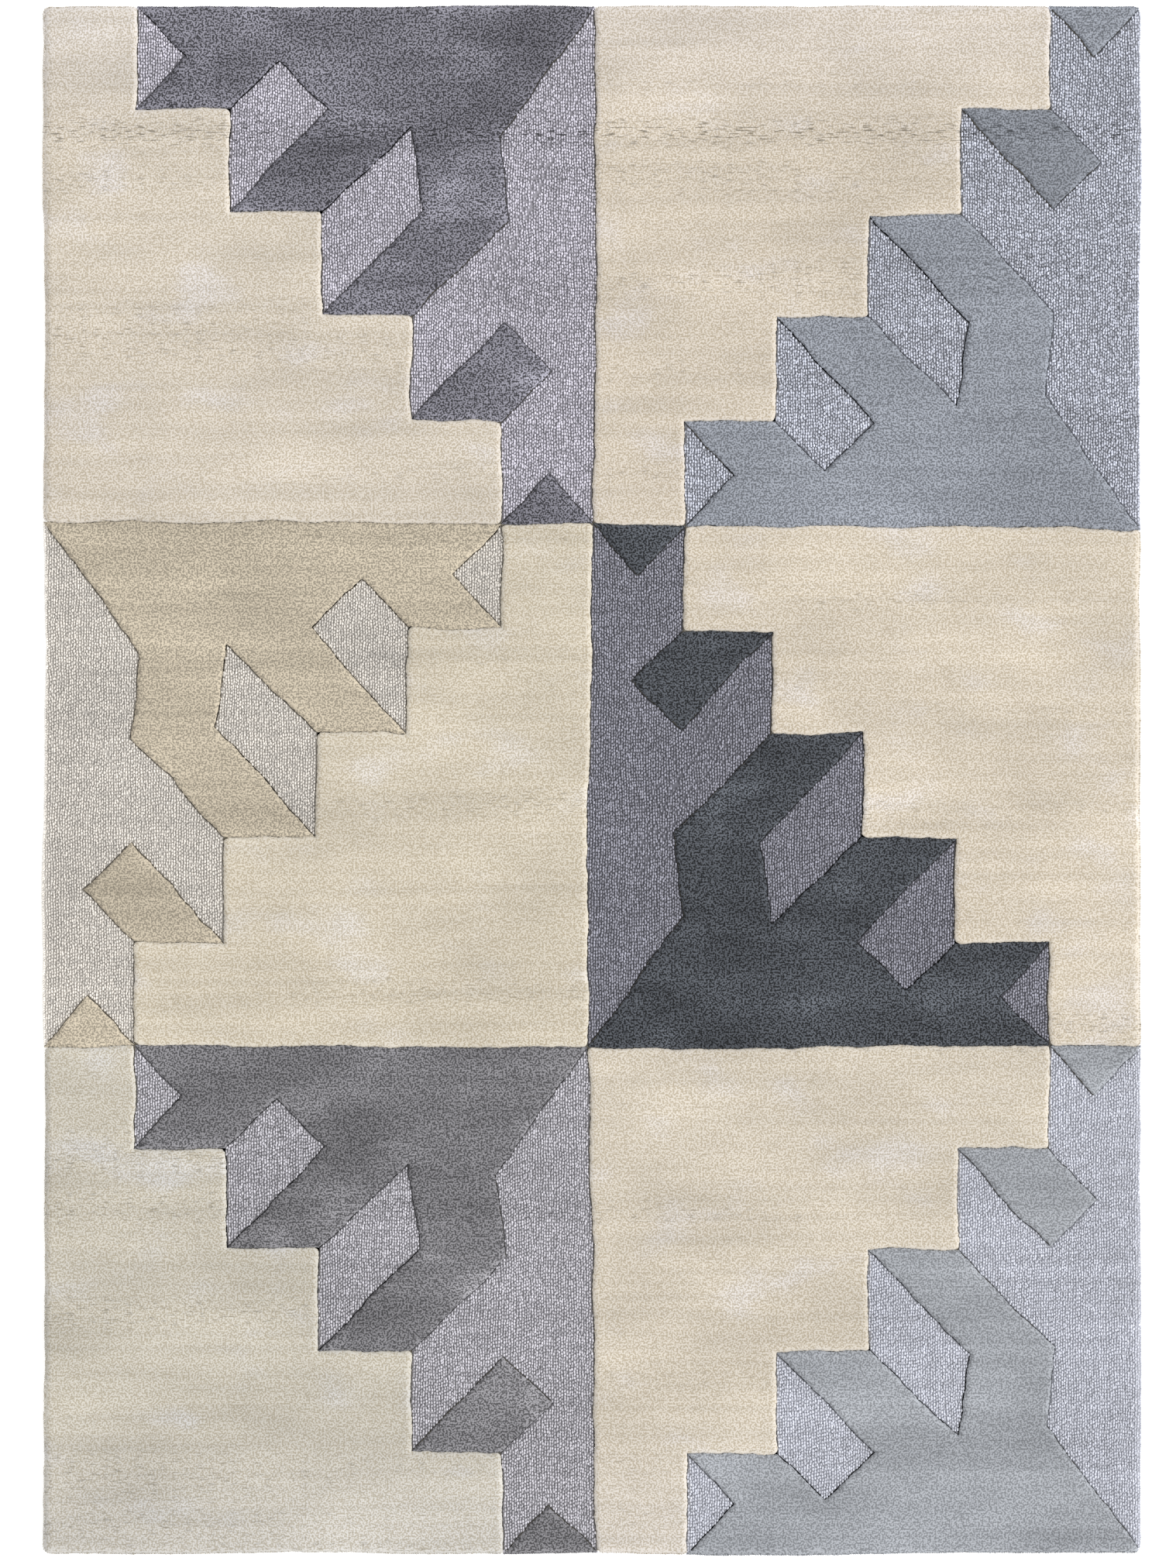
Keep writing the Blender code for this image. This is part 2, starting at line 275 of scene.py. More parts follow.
def yarn_finish(name, light, dark, cloud, streak, fleck, gap_shading, pale_tint=WHITE, end_share=0.0):
    """Dyed wool that runs between a light and a dark shade of one colour.

    The pale tint is painted sheen where the pile has been brushed against its lie,
    and, by the end share, it also shows towards the rug's two ends. In bands across
    the rug the rows of stitches part a little, as short gaps painted in dark shade.
    """
    material, tree, shader = new_finish(
        name,
        Roughness=YARN_ROUGHNESS,
        Sheen_Weight=YARN_SHEEN,
        Sheen_Roughness=YARN_SHEEN_ROUGHNESS,
        Specular_IOR_Level=YARN_GLOSS,
    )
    place = tree.node("ShaderNodeTexCoord", out="Object")
    along = tree.node("ShaderNodeSeparateXYZ", {}, {0: place}).out("Y")
    fibres = tree.grain(place, FIBRE_SCALE, detail=0.0)
    # The tone attribute is each tuft's random tone plus painted highlights along carved outlines
    # and the rug's edge, and painted shade on the loop bed.
    tuft = tree.node("ShaderNodeAttribute", {"attribute_name": "tuft_tone"}, out="Fac")
    colour = tree.mixed(0.5 + fleck * fibres + tuft, (*dark, 1.0), (*light, 1.0))
    near_end = tree.eased(tree.math("ABSOLUTE", along), *END_ZONE, 0.0, end_share)
    # Painted sheen: patches where the pile was brushed against its lie are tinted pale, and the
    # end share tints towards the rug's two ends with the same tint.
    brushed = tree.eased(tree.grain(place, BRUSHED_SCALE), *BRUSHED_REACH, 0.0, 1.0)
    tint = tree.mixed(tree.math("MAXIMUM", near_end, brushed), WHITE, pale_tint)
    colour = tree.vector("MULTIPLY", colour, tint)
    # Painted shade and sheen: where the pile lies one way or another it is painted lighter or
    # darker, in soft clouds and faint rows.
    clouds = tree.grain(place, CLOUD_SCALE, CLOUD_DETAIL, CLOUD_ROUGHNESS)
    streaks = tree.grain(place, STREAK_SCALE, STREAK_DETAIL, STREAK_ROUGHNESS)
    colour = tree.scaled(colour, 1.0 + cloud * clouds + streak * streaks)
    # Painted shade: where the rows of stitches part, in bands and most of all in the thin rows,
    # the colour is darkened towards a share of the dark end.
    thin_rows = tree.eased(
        tree.math("ABSOLUTE", along - THIN_ROWS_AT), 0.0, THIN_ROWS_REACH, 1.0, 0.0
    )
    band = tree.eased(
        tree.grain(place, GAP_BAND_SCALE, detail=1.0), *GAP_BAND_REACH, *GAP_BAND_SHARE
    )
    parting = tree.grain(place, GAP_SCALE, detail=1.0) - THIN_ROWS_PART * thin_rows
    gap_shade = tree.eased(parting, *GAP_REACH, 1.0, 0.0)
    gap_shade = gap_shade * tree.math("MAXIMUM", band, thin_rows) * gap_shading
    colour = tree.mixed(gap_shade, colour, (*(PAINTED_GAP_SHADE * part for part in dark), 1.0))
    tree.feed(colour, shader, "Base Color")
    relief = tree.node(
        "ShaderNodeBump",
        {},
        {"Strength": FIBRE_BUMP, "Distance": FIBRE_RELIEF, "Height": fibres},
    )
    tree.feed(relief, shader, "Normal")
    return material


def shades(colour, spreads, strength=1.0):
    """The light and the dark end of one colour of yarn."""
    middle = [part * strength for part in dye(*colour)]
    light = tuple(part * (1 + spread) for part, spread in zip(middle, spreads))
    dark = tuple(part * (1 - spread) for part, spread in zip(middle, spreads))
    return light, dark


# ---------------------------------------------------------------------------
# The pattern is drawn on the backing and tufted by hand, so its lines sway and
# wobble a little. Neighbouring areas follow the same drawn line.

HAND_DRIFT = 0.0040
DRIFTS_PER_METRE = 3.4
HAND_BULGE = 0.0040
BULGES_PER_METRE = 13.0
HAND_WOBBLE = 0.0022
WOBBLES_PER_METRE = 42.0
SWAY = 0.0055
SWAY_MIDDLE = -0.15
SWAY_HALF_WAVE = 1.15
ROW_SLANT = 0.005
ROW_SLANT_AT = 0.4
ROW_SLANT_REACH = 0.8
HELD_AT_EDGE = 0.4
HELD_REACH = 0.03
WAVER_LAYERS = (0.7, 9.3)
MERGE_DISTANCE = 0.00001
FACES_DOWN = -0.99
SQUARE_TURN = 0.9
CORNER_STEPS = 4


def noise_pair(x, y, layers):
    """Two smooth random numbers for a place, one from each layer of the noise."""
    return Vector([noise.noise((x, y, layer)) for layer in layers])


def waver(place, per_metre, reach):
    """A smooth error of the hand, so many times to the metre."""
    return noise_pair(*(place * per_metre), WAVER_LAYERS) * reach


def hand_drawn(place):
    """Where the tufting hand put a point of the drawn pattern.

    Along the rug's own edge the hem holds the line straighter.
    """
    x, y = place
    from_edge = min(rug_half_width - abs(x), rug_half_length - abs(y))
    free = min(1.0, HELD_AT_EDGE + max(0.0, from_edge) / HELD_REACH)
    inward = max(0.0, 1.0 - (x / rug_half_width) ** 2)
    sway = -SWAY * math.cos(math.pi * (y - SWAY_MIDDLE) / SWAY_HALF_WAVE) * inward
    reach = max(0.0, 1.0 - abs(y - ROW_SLANT_AT) / ROW_SLANT_REACH)
    slant = -ROW_SLANT * x / rug_half_width * reach
    return (
        place
        + Vector((sway, slant))
        + waver(place, DRIFTS_PER_METRE, HAND_DRIFT)
        + waver(place, BULGES_PER_METRE, HAND_BULGE) * free
        + waver(place, WOBBLES_PER_METRE, HAND_WOBBLE) * free
    )


def pattern_outline(node_name):
    """The corners of an area's underside in the model, anticlockwise from above."""
    shape = bmesh.new()
    shape.from_mesh(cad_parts[node_name].data)
    bmesh.ops.remove_doubles(shape, verts=shape.verts, dist=MERGE_DISTANCE)
    shape.normal_update()
    after = {}
    for face in shape.faces:
        if face.normal.z > FACES_DOWN:
            continue
        for corner in face.loops:
            if corner.link_loop_radial_next.face.normal.z > FACES_DOWN:
                after[corner.vert.index] = corner.link_loop_next.vert.index
    shape.verts.ensure_lookup_table()
    corners = []
    here = next(iter(after))
    while here in after:
        corners.append(shape.verts[here].co.xy.copy())
        here = after.pop(here)
    shape.free()
    return corners[::-1]


def sheared_corners(corners, radius):
    """An outline whose square outer corners are rounded, as shears leave them."""
    sheared = []
    for before, here, after in zip(corners[-1:] + corners, corners, corners[1:] + corners[:1]):
        into = (here - before).normalized()
        onward = (after - here).normalized()
        if into.cross(onward) < SQUARE_TURN:
            sheared.append(here)
            continue
        start = here - into * radius
        end = here + onward * radius
        for step in range(CORNER_STEPS + 1):
            share = step / CORNER_STEPS
            sheared.append(start.lerp(here, share).lerp(here.lerp(end, share), share))
    return sheared


def drawn_outline(corners, pitch):
    """An outline in short steps, each moved as the hand drew it."""
    points = []
    for here, after in zip(corners, corners[1:] + corners[:1]):
        steps = max(1, round((after - here).length / pitch))
        points += [hand_drawn(here.lerp(after, step / steps)) for step in range(steps)]
    return points


def moved_in(points, distance):
    """An anticlockwise outline with each point moved in by a distance."""
    moved = []
    for before, here, after in zip(points[-1:] + points, points, points[1:] + points[:1]):
        along = (after - before).normalized()
        moved.append(here + Vector((-along.y, along.x)) * distance)
    return moved


# ---------------------------------------------------------------------------
# Along the rug's own edge the outermost yarns show whole, from foot to tip, and
# splay outwards, with a painted highlight in their colour. Each stands on the line
# of its area's feet.

EDGE_YARN_SPACING = 0.0036
EDGE_YARN_RADIUS = 0.0021
EDGE_YARN_SPLAY = 0.30
EDGE_YARN_STRAY = 0.16
EDGE_PAINTED_HIGHLIGHT = 0.25
EDGE_YARN_SIDES = 5
EDGE_PROBE = 0.002
OUTSIDE_BY = 0.0002
YARN_SIZES = (0.86, 1.14)
YARN_RINGS = 3
EDGE_DROP = 0.0020
EDGE_ZONE = 0.012
EDGE_LINE = 0.005


def new_geometry_tree(name, inputs):
    """An empty geometry tree with named inputs, and the wires that leave them."""
    group = bpy.data.node_groups.new(name, "GeometryNodeTree")
    for label, (kind, value) in inputs.items():
        socket = group.interface.new_socket(name=label, in_out="INPUT", socket_type=kind)
        if value is not None:
            socket.default_value = value
    group.interface.new_socket(
        name="Geometry", in_out="OUTPUT", socket_type="NodeSocketGeometry"
    )
    tree = NodeTree(group)
    start = group.nodes.new("NodeGroupInput")
    return tree, {label: Wire(tree, start.outputs[label]) for label in inputs}


def finish_tree(tree, parts, material):
    """Joins the parts as one mesh with a map of it from above, as the tree's output."""
    join = tree.tree.nodes.new("GeometryNodeJoinGeometry")
    for part in parts:
        tree.feed(part, join, 0)
    whole = tree.node("GeometryNodeRealizeInstances", {}, {0: Wire(tree, join.outputs[0])})
    facing = tree.node("ShaderNodeSeparateXYZ", {}, {0: tree.node("GeometryNodeInputNormal")})
    whole = tree.node(
        "GeometryNodeSortElements",
        {"domain": "FACE"},
        {"Geometry": whole, "Sort Weight": facing.out("Z")},
    )
    box = tree.node("GeometryNodeBoundBox", {}, {0: whole}, out="Min")
    size = tree.vector("SUBTRACT", box.out("Max"), box)
    place = tree.vector("SUBTRACT", tree.node("GeometryNodeInputPosition"), box)
    whole = tree.node(
        "GeometryNodeStoreNamedAttribute",
        {"data_type": "FLOAT2", "domain": "CORNER"},
        {"Geometry": whole, "Name": "OFBake", "Value": tree.vector("DIVIDE", place, size)},
    )
    whole = tree.node("GeometryNodeSetMaterial", {}, {"Geometry": whole, "Material": material})
    end = tree.tree.nodes.new("NodeGroupOutput")
    tree.feed(whole, end, 0)


def made_solid(source, tree, name, **inputs):
    """A plain mesh piece from an object with a tree run on it. The source is removed."""
    modifier = source.modifiers.new("tree", "NODES")
    modifier.node_group = tree.tree
    for socket in tree.tree.interface.items_tree:
        label = socket.name.replace(" ", "_")
        if socket.in_out == "INPUT" and label in inputs:
            modifier[socket.identifier] = inputs[label]
    graph = bpy.context.evaluated_depsgraph_get()
    mesh = bpy.data.meshes.new_from_object(source.evaluated_get(graph))
    mesh.name = name
    for index in reversed(range(len(mesh.materials))):
        if mesh.materials[index] is None:
            mesh.materials.pop(index=index)
    bpy.data.objects.remove(source)
    return new_piece(name, mesh)


def new_piece(name, mesh):
    """An object that shows a mesh, at the origin."""
    piece = bpy.data.objects.new(name, mesh)
    bpy.context.scene.collection.objects.link(piece)
    return piece


def chance(tree, low, high, seed):
    """A random number, a new one for each point."""
    return tree.node("FunctionNodeRandomValue", {}, {2: low, 3: high, 8: seed}, out=1)


def stray(tree, spread, seed):
    """A random flat vector, a new one for each point."""
    return tree.combined(
        chance(tree, -spread, spread, seed), chance(tree, -spread, spread, seed + 50), 0.0
    )


def from_rug_edge(tree, place):
    """How far in from the rug's nearest edge a place is."""
    parts = tree.node("ShaderNodeSeparateXYZ", {}, {0: place})
    from_side = rug_half_width - tree.math("ABSOLUTE", parts)
    from_end = rug_half_length - tree.math("ABSOLUTE", parts.out("Y"))
    return tree.math("MINIMUM", from_side, from_end)


def foot_face(tree, bed):
    """The flat underside of an area, as one face."""
    facing = tree.node("ShaderNodeSeparateXYZ", {}, {0: tree.node("GeometryNodeInputNormal")})
    return tree.node(
        "GeometryNodeSeparateGeometry",
        {"domain": "FACE"},
        {"Geometry": bed, "Selection": facing.out("Z") < FACES_DOWN},
    )


def distance_to(tree, kind, target, place):
    """How far a place is from the target's nearest edge or face."""
    return tree.node(
        "GeometryNodeProximity",
        {"target_element": kind},
        {0: target, "Sample Position": place},
        out="Distance",
    )


def raised_to(tree, points, height, tone):
    """The points at a height, each with its share of its dye's light or dark end."""
    parts = tree.node("ShaderNodeSeparateXYZ", {}, {0: tree.node("GeometryNodeInputPosition")})
    lift = tree.combined(0.0, 0.0, height - parts.out("Z"))
    moved = tree.node("GeometryNodeSetPosition", {}, {"Geometry": points, "Offset": lift})
    return toned(tree, moved, tone)


def toned(tree, shape, tone):
    """A shape that remembers its share of its dye's light or dark end, painted highlight or
    painted shade included.
    """
    return tree.node(
        "GeometryNodeStoreNamedAttribute",
        {"data_type": "FLOAT", "domain": "POINT"},
        {"Geometry": shape, "Name": "tuft_tone", "Value": tone},
    )


def yarn_shape(tree, sides, radii, turn=(0.0, 0.0, 0.0)):
    """A rounded yarn of few faces, shaded smooth, turned and then sized."""
    ball = tree.node("GeometryNodeMeshUVSphere", {}, {"Segments": sides, "Rings": YARN_RINGS})
    turned = tree.node("GeometryNodeTransform", {}, {"Geometry": ball, "Rotation": turn})
    sized = tree.node("GeometryNodeTransform", {}, {"Geometry": turned, "Scale": radii})
    return tree.node("GeometryNodeSetShadeSmooth", {}, {"Geometry": sized})


def stood(tree, points, shape, lean, spin, seed, selection=True):
    """The shape on each point, its Z along the lean, turned about it by the spin."""
    upright = tree.node("FunctionNodeAlignRotationToVector", {"axis": "Z"}, {"Vector": lean})
    twist = tree.node("FunctionNodeEulerToRotation", {}, {0: tree.combined(0.0, 0.0, spin)})
    turned = tree.node(
        "FunctionNodeRotateRotation", {"rotation_space": "LOCAL"}, {0: upright, 1: twist}
    )
    return tree.node(
        "GeometryNodeInstanceOnPoints",
        {},
        {
            "Points": points,
            "Instance": shape,
            "Rotation": turned,
            "Scale": chance(tree, *YARN_SIZES, seed),
            "Selection": selection,
        },
    )


def edge_yarns(tree, foot, bottom, top, seed, unlike):
    """The outermost yarns of the rug along the parts of an outline that are its edge."""
    line = tree.node("GeometryNodeMeshToCurve", {}, {"Mesh": foot})
    stations = tree.node(
        "GeometryNodeResampleCurve",
        {"mode": "LENGTH"},
        {"Curve": line, "Length": EDGE_YARN_SPACING},
    )
    place = tree.node("GeometryNodeInputPosition")
    along = tree.node("GeometryNodeInputTangent")
    across = tree.vector("CROSS_PRODUCT", along, (0.0, 0.0, 1.0))
    probe = tree.vector("ADD", place, tree.scaled(across, EDGE_PROBE))
    is_out = distance_to(tree, "FACES", foot, probe) > OUTSIDE_BY
    outward = tree.scaled(across, is_out * 2.0 - 1.0)
    lean = tree.vector(
        "ADD",
        tree.vector("ADD", tree.scaled(outward, EDGE_YARN_SPLAY), (0.0, 0.0, 1.0)),
        stray(tree, EDGE_YARN_STRAY, seed + 1),
    )
    half_length = (top - bottom) * 0.5
    # Painted highlight: the outermost yarns are lighter, around a random tone, as where the
    # splayed edge catches the light.
    tone = chance(tree, EDGE_PAINTED_HIGHLIGHT - unlike, EDGE_PAINTED_HIGHLIGHT + unlike, seed + 2)
    points = raised_to(tree, stations, bottom + half_length, tone)
    radii = tree.combined(EDGE_YARN_RADIUS, EDGE_YARN_RADIUS, half_length)
    shape = yarn_shape(tree, EDGE_YARN_SIDES, radii)
    spin = chance(tree, 0.0, math.tau, seed + 3)
    at_edge = from_rug_edge(tree, place) < EDGE_LINE
    return stood(tree, points, shape, lean, spin, seed + 4, at_edge)


# ---------------------------------------------------------------------------
# Cut pile: the loops are cut and sheared level, so that the yarn ends open and
# close up into one soft grainy surface. It is carved down along each outline,
# where its colour carries a painted highlight, and the pile widens from its feet
# to its face.

GRAIN_SPACING = 0.0027
GRAIN_JITTER = 0.38
GRAIN_UNEVEN = 0.0002
GRAIN_UNLIKE = 0.05
BRUSHED_UNEVEN = 0.0002
BRUSHINGS_PER_METRE = 30.0
BRUSHING_LAYER = 3.1
CARVE_DEPTH = 0.0026
CARVE_ZONE = 0.008
RIM_PITCH = 0.0028
RIM_FUZZ = 0.0007
RIM_CLEARANCE = 0.0015
FOOT_INSET = 0.0014
WELD_DISTANCE = 1e-7

cut_tree, cut = new_geometry_tree(
    "cut_pile",
    {
        "Pile": ("NodeSocketGeometry", None),
        "Yarn": ("NodeSocketMaterial", None),
        "Foot": ("NodeSocketFloat", 0.0),
        "Top": ("NodeSocketFloat", 0.0),
        "Seed": ("NodeSocketInt", 0),
    },
)
cut_edge = edge_yarns(
    cut_tree,
    foot_face(cut_tree, cut["Pile"]),
    cut["Foot"],
    cut["Top"] - EDGE_DROP,
    cut["Seed"],
    GRAIN_UNLIKE,
)
finish_tree(cut_tree, [cut["Pile"], cut_edge], cut["Yarn"])


def rows_inside(rim, spacing):
    """Rows of points a spacing apart that lie inside an outline."""
    starts = np.array([point[:] for point in rim])
    ends = np.roll(starts, -1, axis=0)
    low, high = starts.min(0), starts.max(0)
    across = np.arange(low[0] + spacing / 2, high[0], spacing)
    rows = []
    for y in np.arange(low[1] + spacing / 2, high[1], spacing):
        crossing = (starts[:, 1] > y) != (ends[:, 1] > y)
        start, end = starts[crossing], ends[crossing]
        share = (y - start[:, 1]) / (end[:, 1] - start[:, 1])
        hits = np.sort(start[:, 0] + share * (end[:, 0] - start[:, 0]))
        inside = across[np.searchsorted(hits, across) % 2 == 1]
        rows.append(np.column_stack([inside, np.full(len(inside), y)]))
    return np.vstack(rows)


def eased_in(distance, zone):
    """0 on a line, rising smoothly to 1 a zone's width away."""
    share = np.clip(distance / zone, 0.0, 1.0)
    return share * share * (3.0 - 2.0 * share)


def cut_pile(node_name, corners, bottom, top, rim_tone, seed):
    """One closed body of cut pile, as an object."""
    random = np.random.RandomState(seed)
    rim = drawn_outline(corners, RIM_PITCH)
    line = kdtree.KDTree(len(rim))
    for index, point in enumerate(rim):
        line.insert(point.to_3d(), index)
    line.balance()
    ends = rows_inside(rim, GRAIN_SPACING)
    ends += random.uniform(-GRAIN_JITTER, GRAIN_JITTER, ends.shape) * GRAIN_SPACING
    reach = np.array([line.find((x, y, 0.0))[2] for x, y in ends])
    ends, reach = ends[reach > RIM_CLEARANCE], reach[reach > RIM_CLEARANCE]

    loose = rim + [Vector(end) for end in ends]
    flat, _, faces, sources, _, _ = geometry.delaunay_2d_cdt(
        loose, [], [list(range(len(rim)))], 1, WELD_DISTANCE
    )
    source = np.array([ids[0] for ids in sources])
    reach = np.concatenate([np.zeros(len(rim)), reach])[source]
    place = np.array([point[:] for point in flat])
    rim_index = np.empty(len(rim), int)
    on_rim = source < len(rim)
    rim_index[source[on_rim]] = np.flatnonzero(on_rim)

    rug_edge = np.minimum(
        rug_half_width - abs(place[:, 0]), rug_half_length - abs(place[:, 1])
    )
    brushed = [noise.noise((x, y, BRUSHING_LAYER)) for x, y in place * BRUSHINGS_PER_METRE]
    height = (
        top
        - random.uniform(0.0, GRAIN_UNEVEN, len(place))
        + np.array(brushed) * BRUSHED_UNEVEN
        - CARVE_DEPTH * (1.0 - eased_in(reach, CARVE_ZONE)) ** 2
        - EDGE_DROP * (1.0 - eased_in(rug_edge, EDGE_ZONE))
    )
    tone = random.uniform(-GRAIN_UNLIKE, GRAIN_UNLIKE, len(place))
    # Painted highlight: the pile is made lighter along its carved outline, where the carved slope
    # would catch the light.
    tone += rim_tone * (1.0 - eased_in(reach, CARVE_ZONE))
    # Painted highlight: the pile is lighter near the rug's own edge, where it drops and splays.
    tone += EDGE_PAINTED_HIGHLIGHT * (1.0 - eased_in(rug_edge, EDGE_ZONE))
    place[on_rim] += random.uniform(-RIM_FUZZ, RIM_FUZZ, (on_rim.sum(), 2))

    feet = [(*point, bottom) for point in moved_in(rim, FOOT_INSET)]
    verts = [*np.column_stack([place, height]).tolist(), *feet]
    following = np.roll(rim_index, -1)
    first_foot = len(place)
    foot_index = np.arange(len(rim)) + first_foot
    walls = np.column_stack([foot_index, np.roll(foot_index, -1), following, rim_index])
    mesh = bpy.data.meshes.new(node_name)
    mesh.from_pydata(verts, [], [*faces, *walls.tolist(), foot_index[::-1].tolist()])
    mesh.shade_smooth()
    mesh.polygons[-1].use_smooth = False
    tuft_tone = mesh.attributes.new("tuft_tone", "FLOAT", "POINT")
    tuft_tone.data.foreach_set("value", np.concatenate([tone, np.zeros(len(feet))]))
    return new_piece(mesh.name, mesh)


# ---------------------------------------------------------------------------
# Loop pile: the yarn is left uncut, in loops that run in columns along the rug,
# stitch after stitch, over a low bed, painted in dark shade. The columns wander
# as the hand moved, and stop short of the carved pile beside them, which leaves
# a dark broken line where the shaded bed shows.

LOOP_GAUGE = 0.0039
LOOP_STITCH = 0.0049
LOOP_SIDES = 4
LOOP_RADIUS = 0.0017
LOOP_HALF_LENGTH = 0.0025
LOOP_HALF_DEPTH = 0.0024
LOOP_UNEVEN = 0.0004
LOOP_UNLIKE = 0.25
LOOP_BED_DEPTH = 0.0042
LOOP_BED_PAINTED_SHADE = -1.0
LOOP_BED_PITCH = 0.006
LOOP_BED_INSET = 0.0012
LOOP_BED_FOOT = 0.0005
LOOP_RIM_GAP = 0.0013
LOOP_OUTSIDE_BY = 0.00005
LOOPS_TO_SPARE = 5
LOOP_STRAY = 0.14
LOOP_TWIST = 0.25
LOOP_JITTER = 0.0007
COLUMN_WANDER = 0.014
COLUMN_WANDERS_PER_METRE = (6.0, 5.0, 1.0)
COLUMN_WIGGLE = 0.0036
COLUMN_WIGGLES_PER_METRE = (60.0, 40.0, 1.0)
ROW_WAVE = 0.006
ROW_WAVES_PER_METRE = (30.0, 90.0, 1.0)

loop_tree, loop = new_geometry_tree(
    "loop_pile",
    {
        "Bed": ("NodeSocketGeometry", None),
        "Yarn": ("NodeSocketMaterial", None),
        "Foot": ("NodeSocketFloat", 0.0),
        "Top": ("NodeSocketFloat", 0.0),
        "Middle": ("NodeSocketVector", (0.0, 0.0, 0.0)),
        "Columns": ("NodeSocketInt", 1),
        "Rows": ("NodeSocketInt", 1),
        "Gauge": ("NodeSocketFloat", LOOP_GAUGE),
        "Stitch": ("NodeSocketFloat", LOOP_STITCH),
        "Seed": ("NodeSocketInt", 0),
    },
)
loop_foot = foot_face(loop_tree, loop["Bed"])
stitches = loop_tree.node(
    "GeometryNodeMeshGrid",
    {},
    {
        "Size X": (loop["Columns"] - 1) * loop["Gauge"],
        "Size Y": (loop["Rows"] - 1) * loop["Stitch"],
        "Vertices X": loop["Columns"],
        "Vertices Y": loop["Rows"],
    },
)
stitches = loop_tree.node(
    "GeometryNodeTransform", {}, {"Geometry": stitches, "Translation": loop["Middle"]}
)
stitch_place = loop_tree.node("GeometryNodeInputPosition")
stitch_number = loop_tree.node("GeometryNodeInputIndex")
column_number = loop_tree.math("FLOOR", loop_tree.math("DIVIDE", stitch_number, loop["Rows"]))
column_start = loop_tree.node(
    "FunctionNodeRandomValue", {}, {2: -0.5, 3: 0.5, 7: column_number, 8: loop["Seed"]}, out=1
)
wander = COLUMN_WANDER * loop_tree.grain(stitch_place, COLUMN_WANDERS_PER_METRE)
wiggle = COLUMN_WIGGLE * loop_tree.grain(stitch_place, COLUMN_WIGGLES_PER_METRE)
wave = ROW_WAVE * loop_tree.grain(stitch_place, ROW_WAVES_PER_METRE)
shift = loop_tree.combined(wander + wiggle, column_start * loop["Stitch"] + wave, 0.0)
stitches = loop_tree.node(
    "GeometryNodeSetPosition",
    {},
    {
        "Geometry": stitches,
        "Offset": loop_tree.vector("ADD", shift, stray(loop_tree, LOOP_JITTER, loop["Seed"] + 1)),
    },
)
is_outside = distance_to(loop_tree, "FACES", loop_foot, stitch_place) > LOOP_OUTSIDE_BY
is_on_line = distance_to(loop_tree, "EDGES", loop_foot, stitch_place) < LOOP_RIM_GAP
stitches = loop_tree.node(
    "GeometryNodeDeleteGeometry",
    {"domain": "POINT"},
    {"Geometry": stitches, "Selection": loop_tree.math("MAXIMUM", is_outside, is_on_line)},
)
at_rug_edge = loop_tree.eased(from_rug_edge(loop_tree, stitch_place), 0.0, EDGE_ZONE, 1.0, 0.0)
loop_height = (
    loop["Top"]
    - LOOP_HALF_DEPTH
    - EDGE_DROP * at_rug_edge
    + chance(loop_tree, -LOOP_UNEVEN, LOOP_UNEVEN, loop["Seed"] + 2)
)
loop_shape = yarn_shape(
    loop_tree,
    LOOP_SIDES,
    (LOOP_RADIUS, LOOP_HALF_LENGTH, LOOP_HALF_DEPTH),
    turn=(math.pi / 2, 0.0, 0.0),
)
loop_tone = chance(loop_tree, -LOOP_UNLIKE, LOOP_UNLIKE, loop["Seed"] + 3)
field_loops = stood(
    loop_tree,
    raised_to(loop_tree, stitches, loop_height, loop_tone),
    loop_shape,
    loop_tree.vector(
        "ADD", stray(loop_tree, LOOP_STRAY, loop["Seed"] + 4), (0.0, 0.0, 1.0)
    ),
    chance(loop_tree, -LOOP_TWIST, LOOP_TWIST, loop["Seed"] + 5),
    loop["Seed"] + 6,
)
loop_edge = edge_yarns(
    loop_tree,
    loop_foot,
    loop["Foot"],
    loop["Top"] - EDGE_DROP,
    loop["Seed"] + 10,
    LOOP_UNLIKE,
)
# Painted shade: the bed between and beside the loops is coloured at the dark end of the yarn, as
# shade down among them.
loop_bed = toned(loop_tree, loop["Bed"], LOOP_BED_PAINTED_SHADE)
finish_tree(loop_tree, [loop_bed, field_loops, loop_edge], loop["Yarn"])


def loop_pile_bed(node_name, corners, bottom, top):
    """The closed bed under the loops: a thin foot, then walls that slope in."""
    shape = bmesh.new()
    rim = drawn_outline(corners, LOOP_BED_PITCH)
    shape.faces.new([shape.verts.new((*point, bottom)) for point in rim])
    grown = bmesh.ops.extrude_face_region(shape, geom=list(shape.faces))["geom"]
    lid = [item for item in grown if isinstance(item, bmesh.types.BMFace)]
    for vert in lid[0].verts:
        vert.co.z += LOOP_BED_FOOT
    shape.normal_update()
    bmesh.ops.inset_region(
        shape, faces=lid, thickness=LOOP_BED_INSET, depth=top - bottom - LOOP_BED_FOOT
    )
    bmesh.ops.recalc_face_normals(shape, faces=shape.faces)
    mesh = bpy.data.meshes.new(node_name)
    shape.to_mesh(mesh)
    shape.free()
    return new_piece(mesh.name, mesh)


# ---------------------------------------------------------------------------
# The six panels: in each, a cream cut-pile ground, three areas of coloured cut
# pile and four of paler loops. Each panel's yarn is a dye lot of its own.

GROUND_CORNER_RADIUS = 0.009
# For each kind of pile: its clouds and streaks are painted shade and sheen of the pile's lie, its
# gaps are painted shade where rows part, and its rim tone is a painted highlight along the carved
# outline.
CREAM_SPREAD = (0.19, 0.22, 0.285)
CREAM_CLOUD = 0.50
CREAM_STREAK = 0.25
CREAM_FLECK = 4.0
CREAM_GAP_SHADING = 0.8
CREAM_PALE_TINT = (1.06, 1.09, 1.19, 1.0)
CREAM_END_SHARE = 0.7
CREAM_RIM_HIGHLIGHT = 0.7
CUT_STREAK = 0.4
CUT_FLECK = 4.0
CUT_GAP_SHADING = 0.9
CUT_RIM_HIGHLIGHT = 0.1
LOOP_CLOUD = 0.3
LOOP_STREAK = 0.3
LOOP_FLECK = 0.7
LOOP_GAP_SHADING = 1.0
SEEDS_APART = 100
